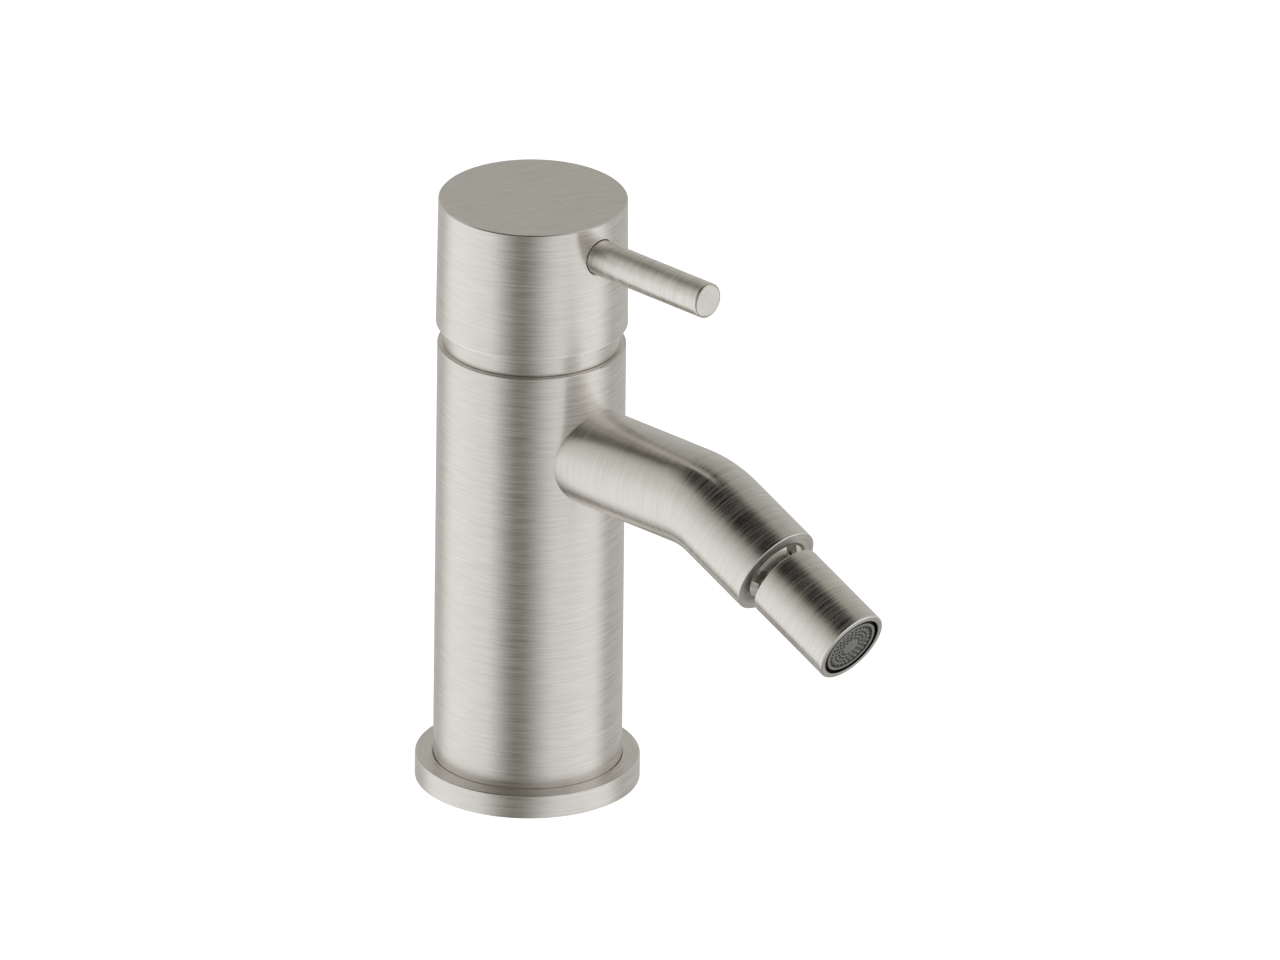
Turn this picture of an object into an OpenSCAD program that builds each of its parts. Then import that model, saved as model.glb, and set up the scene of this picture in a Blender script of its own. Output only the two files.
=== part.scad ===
// Single-lever bidet mixer with a swivelling nozzle at the end of its spout.
// The deck is the plane z = 0, the column stands on the Z axis,
// and the spout and the pin lever point towards -Y.

/* [Flange] */
// Outer diameter of the flange ring
flange_d = 53.6; // [50:0.2:62]
// Height of the flange ring
flange_h = 5.8; // [4:0.1:9]
// Thickness of the flange floor that the column stands on
flange_floor = 2.2; // [1.8:0.1:3]
// Clear opening in the flange floor
flange_opening_d = 36; // [34:0.5:37]
// Height of the deck gasket
gasket_h = 1.2; // [0.8:0.1:1.4]
// Radial width of the deck gasket
gasket_w = 3.6; // [2:0.1:4.5]

/* [Column] */
// Outer diameter of the column
body_d = 45; // [44:0.2:48]
// Height of the column's top rim above the deck
body_top = 112.5; // [108:0.5:140]
// Wall of the hollow lower column
body_wall = 3; // [2:0.1:3.4]
// Height of the solid valve block
block_h = 21; // [19.5:0.5:26]
// Depth of the thread for the cartridge nut
nut_thread_depth = 8; // [6:0.5:9]

/* [Base insert] */
// Height of the base insert
insert_h = 10; // [6:0.5:16]
// Wall of the base insert beside the hoses
insert_wall = 3; // [2:0.1:4]
// Straight side of the opening for the hoses, behind the axis
hose_port_back = 5; // [3:0.5:7]
// Hole for the fixing stud, before its M8 thread
stud_hole_d = 6.8; // [6:0.1:7]
// Distance of the fixing stud behind the axis
stud_back = 12; // [11.5:0.1:13.5]

/* [Inlets and waterways] */
// Inlet hole, before its M10 x 1 thread
inlet_d = 9; // [8:0.1:9]
// Depth of an inlet's thread
inlet_depth = 8; // [6:0.5:8.5]
// Distance of each inlet beside the axis
inlet_side = 8; // [7.8:0.1:8.6]
// Distance of the inlets in front of the axis
inlet_front = 4.5; // [3.5:0.1:5]
// Diameter of an inlet's water port
inlet_port_d = 4.8; // [4:0.1:5]
// Diameter of the outlet's water port
outlet_port_d = 6; // [5:0.1:6.2]
// Distance of the outlet port behind the axis
outlet_back = 7.5; // [7:0.1:8]
// Diameter of the channel from the outlet port to the spout
channel_d = 7; // [5:0.1:7.4]

/* [Spout] */
// Outer diameter of the spout
spout_d = 23.6; // [22:0.1:25]
// Height of the spout's level run above the deck
spout_z = 89.2; // [88.8:0.1:89.6]
// Distance from the column's axis to the corner of the spout's centre line
spout_corner = 58.9; // [45:0.1:90]
// Angle of the downward bend
spout_bend = 25; // [10:1:40]
// Radius of the bend on the centre line
spout_bend_r = 24; // [16:0.5:30]
// Length from the corner to the spout's end
spout_end_len = 25.2; // [24:0.1:40]
// Waterway through the spout
spout_bore_d = 14; // [10:0.5:15]
// Diameter of the spigot that enters the column
spigot_d = 13; // [11:0.1:13.2]
// Length of the spigot inside the column
spigot_len = 8; // [5:0.5:9]
// Wide mouth of the spout's end bore
spout_mouth_d = 17.8; // [17.2:0.1:19]
// Depth of the wide mouth
spout_mouth_depth = 1.5; // [1:0.1:2]
// Bore for the ball joint
joint_bore_d = 16.4; // [16.2:0.1:17]

/* [Ball joint] */
// Diameter of the ball
ball_d = 14; // [13.8:0.1:14.2]
// Distance of the ball's centre inside the spout's end
ball_depth = 5.5; // [5:0.1:6]
// Diameter of the ball's neck
neck_d = 8; // [7:0.1:8.2]
// Waterway through the ball
ball_bore_d = 5; // [3.5:0.1:5.5]
// How far the retaining ring stands out of the spout
ring_proud = 1.3; // [0.8:0.1:1.4]
// Inner diameter of the retaining ring
ring_bore_d = 11.8; // [11.6:0.1:12]
// Front face diameter of the retaining ring
ring_face_d = 13.4; // [12.8:0.1:14]
// Number of tool notches in the retaining ring
ring_notches = 4; // [2:1:6]
// Width of a tool notch
ring_notch_w = 3.8; // [2:0.1:4.5]
// Angle at which the ring is screwed home
ring_turn = 77; // [0:1:180]
// Free space left at each side of the moving ball
ball_clear = 0.05; // [0.02:0.01:0.1]

/* [Nozzle] */
// Outer diameter of the nozzle barrel
nozzle_d = 19.3; // [19:0.1:21]
// Gap between the spout's end and the nozzle barrel
nozzle_gap = 3.2; // [3.1:0.1:4.5]
// Length of the nozzle barrel
nozzle_len = 24.7; // [22:0.1:35]
// Thickness of the nozzle barrel's back wall
nozzle_back = 4; // [3.5:0.1:6]
// Bore for the aerator
aerator_bore_d = 16.4; // [15.8:0.1:16.6]
// Length of the bore for the aerator
aerator_bore_len = 9.3; // [9:0.1:12]
// Diameter of the aerator's front rim
aerator_rim_d = 14.6; // [14.4:0.1:15.4]
// Diameter of the aerator's grille
grille_d = 13; // [12.8:0.1:13.4]
// Diameter of the grille's solid centre
grille_core_d = 4.6; // [3:0.1:5]
// Rings of cells in the grille
grille_rings = 3; // [2:1:4]
// Spokes between the grille's solid centre and its first ring
grille_spokes = 13; // [10:1:16]
// Spokes that each further ring adds, and the teeth round the last ring too
grille_more_spokes = 5; // [3:1:6]
// Thickness of the grille's rings and spokes
grille_bar = 0.4; // [0.3:0.01:0.45]
// Recess of the grille behind the nozzle's lip
grille_recess = 0.3; // [0.2:0.1:1]

/* [Handle] */
// Gap between the column's rim and the handle cap
cap_gap = 5.4; // [5.4:0.1:7]
// Height of the handle cap
cap_h = 32; // [31:0.1:40]
// Lower outer diameter of the handle cap
cap_bottom_d = 45.8; // [45.8:0.1:48]
// Upper outer diameter of the handle cap
cap_top_d = 45.2; // [44.8:0.1:48]
// Wall at the cap's lower edge
cap_wall = 1.2; // [0.9:0.1:1.5]
// Height of the thin lower wall
cap_skirt_h = 6; // [5.5:0.1:8]
// Wall of the cap above its thin lower wall
cap_upper_wall = 2.1; // [1.8:0.1:2.4]
// Thickness of the cap's flat top
cap_top_t = 3.5; // [2.5:0.1:5]
// Diameter of the pin lever
lever_d = 8.7; // [8.2:0.1:10]
// Distance from the column's axis to the lever's tip
lever_reach = 58.6; // [45:0.1:90]
// Depth of the lever's axis below the cap's top
lever_drop = 8.4; // [8.1:0.1:9.5]
// Gap round the lever where it passes through the cap
lever_clear = 0.2; // [0.1:0.05:0.3]
// Diameter of the cap's inner hub
hub_d = 28; // [26:0.5:30]
// Diameter of the lever's thread and of the grub screw
lever_thread_d = 6; // [5:0.1:6]

/* [Cartridge] */
// Outer diameter of the cartridge
cartridge_d = 34.9; // [34.6:0.1:35.2]
// Height of the cartridge's base
cartridge_base_h = 3.5; // [3.3:0.1:4]
// Thickness of each ceramic disc
disc_t = 3; // [2.6:0.1:3.2]
// Diameter of the fixed ceramic disc
fixed_disc_d = 30; // [29:0.1:30.4]
// Diameter of the moving ceramic disc
moving_disc_d = 24; // [23.6:0.1:24.6]
// Height of the slider on the moving disc
slider_h = 2.7; // [2.4:0.1:3]
// Diameter of the turning carrier where it leaves the housing
carrier_d = 24; // [23:0.1:24.4]
// Height of the tilting pivot above the column's rim
pivot_rise = 3.5; // [3.3:0.1:3.8]
// Diameter of the pivot pin
pivot_pin_d = 3; // [2.5:0.1:3.2]
// Side of the square stem
stem_side = 7.8; // [7:0.1:8]
// Diameter of the ball at the stem's lower end
stem_ball_d = 3.8; // [3.4:0.1:4]
// Steepest tilt of the lever
tilt_max = 13; // [8:1:13]
// Turn of the lever to each side
turn_max = 50; // [40:1:60]

/* [Hidden] */
$fn = 96;

nickel = [0.68, 0.67, 0.64];
brass = [0.78, 0.66, 0.42];
steel = [0.74, 0.74, 0.75];
ceramic = [0.93, 0.93, 0.9];
plastic = [0.55, 0.57, 0.57];
dark_plastic = [0.3, 0.32, 0.34];
rubber = [0.12, 0.12, 0.12];

// Extra length of a cut past the face that it leaves
past = 1;
// Gap between two fixed pieces that slide together
fit_gap = 0.05;
// Play of a pin in the hole that holds it
pin_gap = 0.02;
// Gap at each side of a piece that turns or slides
run_gap = 0.1;
// Gap at each side of a loosely guided piece
loose_gap = 0.2;

body_r = body_d / 2;
flange_bore_r = body_r + run_gap;
gasket_mid_r = (flange_opening_d / 2 + flange_d / 2) / 2;
gasket_outer_r = gasket_mid_r + gasket_w / 2;
gasket_inner_r = gasket_mid_r - gasket_w / 2;
body_bottom = flange_floor;
hollow_r = body_r - body_wall;

// The cartridge's parts are stacked up to its shoulder, which is level with the column's rim.
carrier_flange_t = 1.5;
slider_gap = 0.3;
shoulder_t = 1.4;
stack_h = cartridge_base_h + 2 * disc_t + slider_h + slider_gap + carrier_flange_t + run_gap + shoulder_t;
seat_z = body_top - stack_h;
fixed_disc_z = seat_z + cartridge_base_h;
moving_disc_z = fixed_disc_z + disc_t;
slider_z = moving_disc_z + disc_t;
carrier_z = slider_z + slider_h + slider_gap;
carrier_neck_z = carrier_z + carrier_flange_t;
chamber_top = carrier_neck_z + run_gap;
block_z = seat_z - block_h;

cartridge_r = cartridge_d / 2;
cartridge_gap = 0.35;
cartridge_bore_r = cartridge_r + cartridge_gap;
housing_wall = 1.85;
chamber_r = cartridge_r - housing_wall;
neck_bore_r = carrier_d / 2 + run_gap;
neck_wall = 1.7;
housing_neck_r = neck_bore_r + neck_wall;
housing_neck_h = 5.8;
carrier_rise = 0.5;
carrier_top = body_top + housing_neck_h + carrier_rise;
carrier_flange_r = chamber_r - 2 * loose_gap;

// The nut's skirt is screwed into the column, and its head carries the collar.
nut_wall = 1.5;
nut_r = cartridge_r + nut_wall;
nut_thread_r = nut_r + fit_gap;
nut_skirt_h = nut_thread_depth - 2 * loose_gap;
nut_rise = 4.3;
nut_notch_w = 4;
nut_notch_h = 1.2;
nut_notches = 6;
seal_z = 2.1;
seal_wire_d = 1.5;
// Gap between a seal ring and the wall that it seals
seal_relief = 0.02;

pivot_z = body_top + pivot_rise;
stem_ball_z = slider_z + stem_ball_d / 2 + loose_gap;
stem_arm = pivot_z - stem_ball_z;
slot_side = stem_side + 2 * loose_gap;
stem_hub_d = 9.2;
// The slot lets the square stem lean by the steepest tilt.
stem_lean = stem_side / 2 / cos(tilt_max) + (carrier_top - pivot_z) * tan(tilt_max);
slot_len = 2 * (max(stem_lean, stem_hub_d / 2) + loose_gap);
shank_d = 3.4;
slider_wall = 4.1;
slider_inset = 1.5;
guide_x = stem_side / 2 + slider_wall;
guide_w = 2.4;
guide_len = 16;
drive_peg_x = 5;
drive_peg_d = 2;
drive_peg_h = 1;

cap_bottom = body_top + cap_gap;
cap_top = cap_bottom + cap_h;
cap_inner_d = cap_top_d - 2 * cap_upper_wall;
cap_skirt_r = cap_bottom_d / 2 - cap_wall;
cap_ceiling = cap_top - cap_top_t;
collar_side_gap = 0.5;
collar_r = cap_skirt_r - collar_side_gap;
// The collar's top is part of a ball round the pivot, so that the tilting cap clears it.
dome_gap = 0.34;
dome_r = norm([cap_skirt_r, cap_bottom - pivot_z]) - dome_gap;
collar_h = 10;
collar_fit = 0.15;
collar_bore_r = nut_r + collar_fit;
collar_ledge_gap = 0.4;
collar_opening_r = housing_neck_r + 3 * loose_gap;
hub_r = hub_d / 2;
hub_depth = 7.5;
hub_z = cap_top - lever_drop - hub_depth;
sleeve_r = 8;
sleeve_gap = 1;
// The sleeve's lower edge stays above the collar at the steepest tilt.
sleeve_z = pivot_z + (body_top + collar_h + sleeve_gap - pivot_z + sleeve_r * sin(tilt_max)) / cos(tilt_max);
lever_z = cap_top - lever_drop;
lever_r = lever_d / 2;
lever_seat_depth = 0.5;
lever_seat_y = hub_r - lever_seat_depth;
thread_r = lever_thread_d / 2;
lever_spigot_len = 5;
stem_over = 2.4;
stem_top = lever_z + stem_over;
grub_len = lever_seat_y - lever_spigot_len - stem_side / 2 - 2 * loose_gap;

peg_x = 12.5;
peg_back = 4;
peg_d = 2.4;
peg_h = 1.5;
foot_peg_back = 6;
foot_peg_d = 2.8;
foot_peg_h = 2;
port_seal_wall = 1.2;
port_seal_h = 1.2;

spout_r = spout_d / 2;
bend_tangent = spout_bend_r * tan(spout_bend / 2);
bend_y = spout_corner - bend_tangent;
end_run = spout_end_len - bend_tangent;
end_y = spout_corner + spout_end_len * cos(spout_bend);
end_z = spout_z - spout_end_len * sin(spout_bend);
spigot_r = spigot_d / 2;
joint_bore_r = joint_bore_d / 2;
ball_r = ball_d / 2;
socket_r = ball_r + ball_clear;
// The ring and the front seal meet where the ball is a little wider than the ring's bore.
ring_back = ball_depth - sqrt(socket_r * socket_r - pow(ring_bore_d / 2 + run_gap, 2));
front_seal_len = 2.4;
seat_spread = 2.5;
rear_seat_wall = 1.4;
rear_seat_front = ball_depth + seat_spread;
rear_seat_back = ball_depth + ball_r + rear_seat_wall;
rear_seat_bore_d = 8.4;
joint_bore_depth = rear_seat_back + run_gap;
notch_floor = 0.3;
spout_edge = 0.25;
// The straight runs reach into the bend, which is a hair thinner, so that all three are one piece.
seam_lap = 0.3;
seam_step = 0.005;

nozzle_r = nozzle_d / 2;
barrel_back = nozzle_gap;
barrel_front = nozzle_gap + nozzle_len;
barrel_chamber = barrel_back + nozzle_back;
barrel_edge = 0.4;
lip_edge = 0.3;
shoulder_w = barrel_front - aerator_bore_len;
aerator_ledge = 1.1;
chamber_bore_d = aerator_bore_d - 2 * aerator_ledge;
seal_t = 1.2;
aerator_thread_r = aerator_bore_d / 2 - fit_gap;
aerator_rim_len = 1.9;
aerator_front = barrel_front - run_gap;
grille_t = 1;
grille_front = barrel_front - grille_recess;
insert_t = 3.4;
insert_back = grille_front - grille_t - insert_t;
insert_holes = 12;
insert_hole_d = 1.3;
insert_core_d = 5;
aerator_bore_r = grille_d / 2 + fit_gap;
aerator_wall = 1;
aerator_hollow_r = aerator_bore_r - aerator_wall;
stem_seal_w = barrel_back + nozzle_back / 2;
stem_seal_wire_d = 1.2;

// A round bar from z = 0 with its top edge rounded, and its foot too where foot is given
module rounded_bar(r, h, edge, foot = 0) {
    rotate_extrude() {
        translate([0, foot]) square([r, h - edge - foot]);
        square([r - edge, h]);
        translate([r - edge, h - edge]) circle(r = edge);
        if (foot > 0) {
            square([r - foot, h - edge]);
            translate([r - foot, foot]) circle(r = foot);
        }
    }
}

// A ring of round section, lying level round the Z axis
module round_ring(mid_r, wire_d) {
    rotate_extrude() translate([mid_r, 0]) circle(d = wire_d);
}

// A flat ring between two radii
module flat_ring(outer_r, inner_r, h) {
    difference() {
        cylinder(r = outer_r, h = h);
        translate([0, 0, -past]) cylinder(r = inner_r, h = h + 2 * past);
    }
}

// Places a part that is drawn along +Z so that it points forwards from the Z axis
module facing_front(z) {
    translate([0, 0, z]) rotate([90, 0, 0]) children();
}

// The spout's end: +Z leaves the spout along its centre line, +Y is the upper side
module at_spout_end() {
    translate([0, -end_y, end_z]) rotate([90 + spout_bend, 0, 0]) children();
}

// The three water ports that the block, the cartridge base and the fixed disc share
module at_ports() {
    for (side = [-1, 1]) translate([side * inlet_side, -inlet_front, 0]) children(0);
    translate([0, outlet_back, 0]) children(1);
}

module both_sides(x, back) {
    for (side = [-1, 1]) translate([side * x, back, 0]) children();
}

module port_holes(z, h) {
    translate([0, 0, z]) at_ports() {
        cylinder(d = inlet_port_d, h = h);
        cylinder(d = outlet_port_d, h = h);
    }
}

module flange() {
    inner_edge = 0.12;
    color(nickel)
    difference() {
        rounded_bar(flange_d / 2, flange_h, 0.35);
        translate([0, 0, -past]) cylinder(d = flange_opening_d, h = flange_h);
        translate([0, 0, flange_floor]) cylinder(r = flange_bore_r, h = flange_h);
        translate([0, 0, flange_h - inner_edge])
            cylinder(r1 = flange_bore_r, r2 = flange_bore_r + 2 * inner_edge, h = 2 * inner_edge);
        translate([0, 0, -past])
            flat_ring(gasket_outer_r + run_gap, gasket_inner_r - run_gap, past + gasket_h);
    }
}

module flange_gasket() {
    color(rubber) flat_ring(gasket_outer_r, gasket_inner_r, gasket_h);
}

module body() {
    color(nickel)
    difference() {
        translate([0, 0, body_bottom]) rounded_bar(body_r, body_top - body_bottom, 0.3);
        translate([0, 0, body_bottom - past]) cylinder(r = hollow_r, h = block_z - body_bottom + past);
        translate([0, 0, seat_z]) cylinder(r = cartridge_bore_r, h = stack_h + past);
        translate([0, 0, body_top - nut_thread_depth])
            cylinder(r = nut_thread_r, h = nut_thread_depth + past);
        // Each inlet is threaded from below, and a narrower port leads on to the cartridge.
        for (side = [-1, 1]) translate([side * inlet_side, -inlet_front, block_z - past]) {
            cylinder(d = inlet_d, h = inlet_depth + past);
            cylinder(d = inlet_port_d, h = block_h + 2 * past);
        }
        // The outlet goes down behind the inlets and forwards between them.
        translate([0, outlet_back, spout_z]) cylinder(d = outlet_port_d, h = seat_z - spout_z + past);
        translate([0, outlet_back, spout_z]) sphere(d = channel_d);
        translate([0, outlet_back, 0]) facing_front(spout_z)
            cylinder(d = channel_d, h = outlet_back + body_r);
        facing_front(spout_z) translate([0, 0, body_r - spigot_len])
            cylinder(r = spigot_r + fit_gap, h = spigot_len + past);
        translate([0, 0, seat_z - foot_peg_h - run_gap])
            both_sides(peg_x, foot_peg_back) cylinder(d = foot_peg_d + 2 * run_gap, h = foot_peg_h + past);
    }
}

module base_insert() {
    color(brass)
    difference() {
        translate([0, 0, body_bottom]) cylinder(r = hollow_r - fit_gap, h = insert_h);
        intersection() {
            translate([0, 0, body_bottom - past])
                cylinder(r = hollow_r - insert_wall, h = insert_h + 2 * past);
            translate([-body_r, -body_d + hose_port_back, 0]) cube([body_d, body_d, body_top]);
        }
        translate([0, stud_back, body_bottom - past]) cylinder(d = stud_hole_d, h = insert_h + 2 * past);
    }
}

// The spout's level run and its bend, filled with a round bar
module spout_run(r, start) {
    facing_front(spout_z) translate([0, 0, start]) cylinder(r = r, h = bend_y + seam_lap - start);
    translate([0, -bend_y, spout_z - spout_bend_r])
        rotate([0, -90, 180])
        rotate_extrude(angle = spout_bend) translate([spout_bend_r, 0]) circle(r = r - seam_step);
}

module spout() {
    saddle_start = sqrt(body_r * body_r - spout_r * spout_r) - past;
    color(nickel)
    difference() {
        union() {
            difference() {
                union() {
                    spout_run(spout_r, saddle_start);
                    at_spout_end() translate([0, 0, -end_run - seam_lap])
                        rounded_bar(spout_r, end_run + seam_lap, spout_edge);
                }
                cylinder(r = body_r, h = body_top);
            }
            facing_front(spout_z) translate([0, 0, body_r - spigot_len])
                cylinder(r = spigot_r, h = spigot_len + past);
        }
        facing_front(spout_z) cylinder(d = channel_d, h = body_r + past);
        spout_run(spout_bore_d / 2, body_r + past);
        at_spout_end() {
            translate([0, 0, -end_run - seam_lap]) cylinder(d = spout_bore_d, h = end_run + seam_lap + past);
            translate([0, 0, -joint_bore_depth]) cylinder(r = joint_bore_r, h = joint_bore_depth + past);
            translate([0, 0, -spout_mouth_depth]) cylinder(d = spout_mouth_d, h = spout_mouth_depth + past);
        }
    }
}

module collar() {
    foot_edge = 0.25;
    color(nickel)
    difference() {
        intersection() {
            translate([0, 0, body_top]) rounded_bar(collar_r, collar_h, foot_edge, foot_edge);
            translate([0, 0, pivot_z]) sphere(r = dome_r);
        }
        translate([0, 0, body_top - past])
            cylinder(r = collar_bore_r, h = nut_rise + collar_ledge_gap + past);
        translate([0, 0, body_top]) cylinder(r = collar_opening_r, h = collar_h + past);
    }
}

module collar_oring() {
    color(rubber)
        translate([0, 0, body_top + seal_z])
        round_ring(collar_bore_r - seal_wire_d / 2 - seal_relief, seal_wire_d);
}

module cartridge_nut() {
    groove_r = collar_bore_r - seal_wire_d - fit_gap;
    color(brass)
    difference() {
        translate([0, 0, body_top - nut_skirt_h]) cylinder(r = nut_r, h = nut_skirt_h + nut_rise);
        translate([0, 0, body_top - nut_skirt_h - past])
            cylinder(r = cartridge_r + loose_gap, h = nut_skirt_h + past);
        translate([0, 0, body_top - past]) cylinder(r = housing_neck_r + loose_gap, h = nut_rise + 2 * past);
        translate([0, 0, body_top + seal_z - seal_wire_d / 2 - fit_gap])
            flat_ring(nut_r + past, groove_r, seal_wire_d + 2 * fit_gap);
        for (i = [0 : nut_notches - 1]) rotate([0, 0, i * 360 / nut_notches])
            translate([0, -nut_notch_w / 2, body_top + nut_rise - nut_notch_h])
            cube([nut_r + past, nut_notch_w, nut_notch_h + past]);
    }
}

module cartridge_housing() {
    color(dark_plastic)
    difference() {
        union() {
            translate([0, 0, fixed_disc_z]) cylinder(r = cartridge_r, h = body_top - fixed_disc_z);
            translate([0, 0, fixed_disc_z])
                cylinder(r = housing_neck_r, h = body_top - fixed_disc_z + housing_neck_h);
        }
        translate([0, 0, fixed_disc_z - past]) cylinder(r = chamber_r, h = chamber_top - fixed_disc_z + past);
        translate([0, 0, fixed_disc_z]) cylinder(r = neck_bore_r, h = stack_h + housing_neck_h);
    }
}

module cartridge_base() {
    groove_z = (cartridge_base_h - seal_wire_d) / 2;
    color(plastic)
    difference() {
        union() {
            translate([0, 0, seat_z]) cylinder(r = cartridge_r, h = cartridge_base_h);
            translate([0, 0, seat_z - foot_peg_h])
                both_sides(peg_x, foot_peg_back) cylinder(d = foot_peg_d, h = foot_peg_h + past);
            translate([0, 0, fixed_disc_z - past])
                both_sides(peg_x, peg_back) cylinder(d = peg_d, h = peg_h + past);
        }
        port_holes(seat_z - past, cartridge_base_h + 2 * past);
        translate([0, 0, seat_z - past]) at_ports() {
            cylinder(r = inlet_port_d / 2 + port_seal_wall + fit_gap, h = port_seal_h + past);
            cylinder(r = outlet_port_d / 2 + port_seal_wall + fit_gap, h = port_seal_h + past);
        }
        translate([0, 0, seat_z + groove_z])
            flat_ring(cartridge_r + past, cartridge_bore_r - seal_wire_d - fit_gap, seal_wire_d);
    }
}

module base_oring() {
    color(rubber)
        translate([0, 0, seat_z + cartridge_base_h / 2])
        round_ring(cartridge_bore_r - seal_wire_d / 2 - seal_relief, seal_wire_d - 2 * seal_relief);
}

module port_seals() {
    color(rubber) translate([0, 0, seat_z]) at_ports() {
        flat_ring(inlet_port_d / 2 + port_seal_wall, inlet_port_d / 2, port_seal_h);
        flat_ring(outlet_port_d / 2 + port_seal_wall, outlet_port_d / 2, port_seal_h);
    }
}

module fixed_disc() {
    color(ceramic)
    difference() {
        translate([0, 0, fixed_disc_z]) cylinder(d = fixed_disc_d, h = disc_t);
        port_holes(fixed_disc_z - past, disc_t + 2 * past);
        translate([0, 0, fixed_disc_z - past])
            both_sides(peg_x, peg_back) cylinder(d = peg_d + 2 * run_gap, h = peg_h + run_gap + past);
    }
}

module moving_disc() {
    pocket_h = 1.7;
    pocket_wall = 1.6;
    pocket_r = moving_disc_d / 2 - pocket_wall;
    inlet_ring_r = norm([inlet_side, inlet_front]);
    // While the disc isn't slid forwards, the pocket passes inside and behind the inlets at every turn.
    inner_r = inlet_ring_r - inlet_port_d / 2 - loose_gap;
    fan = 89 + atan(inlet_front / inlet_side) - asin(inlet_port_d / 2 / inlet_ring_r) - turn_max;
    fan_x = body_d * sin(fan);
    fan_y = body_d * cos(fan);
    color(ceramic)
    difference() {
        translate([0, 0, moving_disc_z]) cylinder(d = moving_disc_d, h = disc_t);
        translate([0, 0, moving_disc_z - past]) {
            cylinder(r = inner_r, h = pocket_h + past);
            intersection() {
                cylinder(r = pocket_r, h = pocket_h + past);
                linear_extrude(pocket_h + past)
                    polygon([[0, 0], [fan_x, fan_y], [0, body_d], [-fan_x, fan_y]]);
            }
        }
        translate([0, 0, slider_z - drive_peg_h - run_gap])
            both_sides(drive_peg_x, 0) cylinder(d = drive_peg_d + 2 * run_gap, h = drive_peg_h + past);
    }
}

module slider() {
    color(plastic)
    difference() {
        union() {
            intersection() {
                translate([0, 0, slider_z]) cylinder(r = moving_disc_d / 2 - slider_inset, h = slider_h);
                translate([-guide_x + loose_gap, -moving_disc_d / 2, slider_z])
                    cube([2 * (guide_x - loose_gap), moving_disc_d, slider_h]);
            }
            translate([0, 0, slider_z - drive_peg_h])
                both_sides(drive_peg_x, 0) cylinder(d = drive_peg_d, h = drive_peg_h + past);
        }
        translate([0, 0, slider_z - past]) cylinder(d = stem_ball_d + 2 * loose_gap, h = slider_h + 2 * past);
    }
}

module carrier() {
    guide_drop = slider_h + slider_gap - 2 * loose_gap;
    color(dark_plastic)
    difference() {
        union() {
            translate([0, 0, carrier_z]) cylinder(r = carrier_flange_r, h = carrier_flange_t);
            translate([0, 0, carrier_z]) cylinder(d = carrier_d, h = carrier_top - carrier_z);
            for (side = [-1, 1])
                translate([side * (guide_x + guide_w / 2), 0, carrier_z - guide_drop / 2 + past / 2])
                cube([guide_w, guide_len, guide_drop + past], center = true);
        }
        translate([-slot_side / 2, -slot_len / 2, carrier_z - past]) cube([slot_side, slot_len, carrier_top]);
        translate([-carrier_d, 0, pivot_z])
            rotate([0, 90, 0]) cylinder(d = pivot_pin_d + pin_gap, h = 2 * carrier_d);
    }
}

module pivot_pin() {
    pin_len = carrier_d - 5 * loose_gap;
    color(steel)
        translate([-pin_len / 2, 0, pivot_z]) rotate([0, 90, 0]) cylinder(d = pivot_pin_d, h = pin_len);
}

module stem() {
    color(steel)
    difference() {
        union() {
            translate([-stem_side / 2, -stem_side / 2, pivot_z])
                cube([stem_side, stem_side, stem_top - pivot_z]);
            translate([-stem_side / 2, 0, pivot_z])
                rotate([0, 90, 0]) cylinder(d = stem_hub_d, h = stem_side);
            translate([0, 0, stem_ball_z]) cylinder(d = shank_d, h = stem_arm);
            translate([0, 0, stem_ball_z]) sphere(d = stem_ball_d);
        }
        translate([-stem_side, 0, pivot_z])
            rotate([0, 90, 0]) cylinder(d = pivot_pin_d + 2 * fit_gap, h = 2 * stem_side);
    }
}

module handle_cap() {
    top_edge = 0.25;
    skirt_h = cap_skirt_h;
    socket_side = stem_side + 2 * fit_gap;
    color(nickel)
    difference() {
        union() {
            difference() {
                translate([0, 0, cap_bottom])
                    cylinder(d1 = cap_bottom_d, d2 = cap_top_d, h = cap_h - top_edge);
                translate([0, 0, cap_bottom - past]) cylinder(r = cap_skirt_r, h = skirt_h + past);
                translate([0, 0, cap_bottom]) cylinder(d = cap_inner_d, h = cap_ceiling - cap_bottom);
            }
            translate([0, 0, cap_top - top_edge])
                cylinder(d1 = cap_top_d, d2 = cap_top_d - 2 * top_edge, h = top_edge);
            translate([0, 0, hub_z]) cylinder(r = hub_r, h = cap_ceiling - hub_z + past);
            translate([0, 0, sleeve_z]) cylinder(r = sleeve_r, h = cap_ceiling - sleeve_z);
        }
        translate([-socket_side / 2, -socket_side / 2, sleeve_z - past])
            cube([socket_side, socket_side, stem_top + run_gap - sleeve_z + past]);
        facing_front(lever_z) cylinder(r = thread_r + fit_gap, h = hub_r + past);
        facing_front(lever_z) translate([0, 0, lever_seat_y])
            cylinder(r = lever_r + lever_clear, h = cap_bottom_d);
    }
}

module lever_pin() {
    tip_edge = 0.8;
    color(nickel) facing_front(lever_z) {
        translate([0, 0, lever_seat_y]) rounded_bar(lever_r, lever_reach - lever_seat_y, tip_edge);
        translate([0, 0, lever_seat_y - lever_spigot_len])
            cylinder(r = thread_r, h = lever_spigot_len + past);
    }
}

module grub_screw() {
    key_d = 3.4;
    key_depth = 2;
    color(steel) facing_front(lever_z) translate([0, 0, stem_side / 2 + fit_gap])
    difference() {
        cylinder(r = thread_r, h = grub_len);
        translate([0, 0, grub_len - key_depth]) cylinder(d = key_d, h = key_depth + past, $fn = 6);
    }
}

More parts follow.
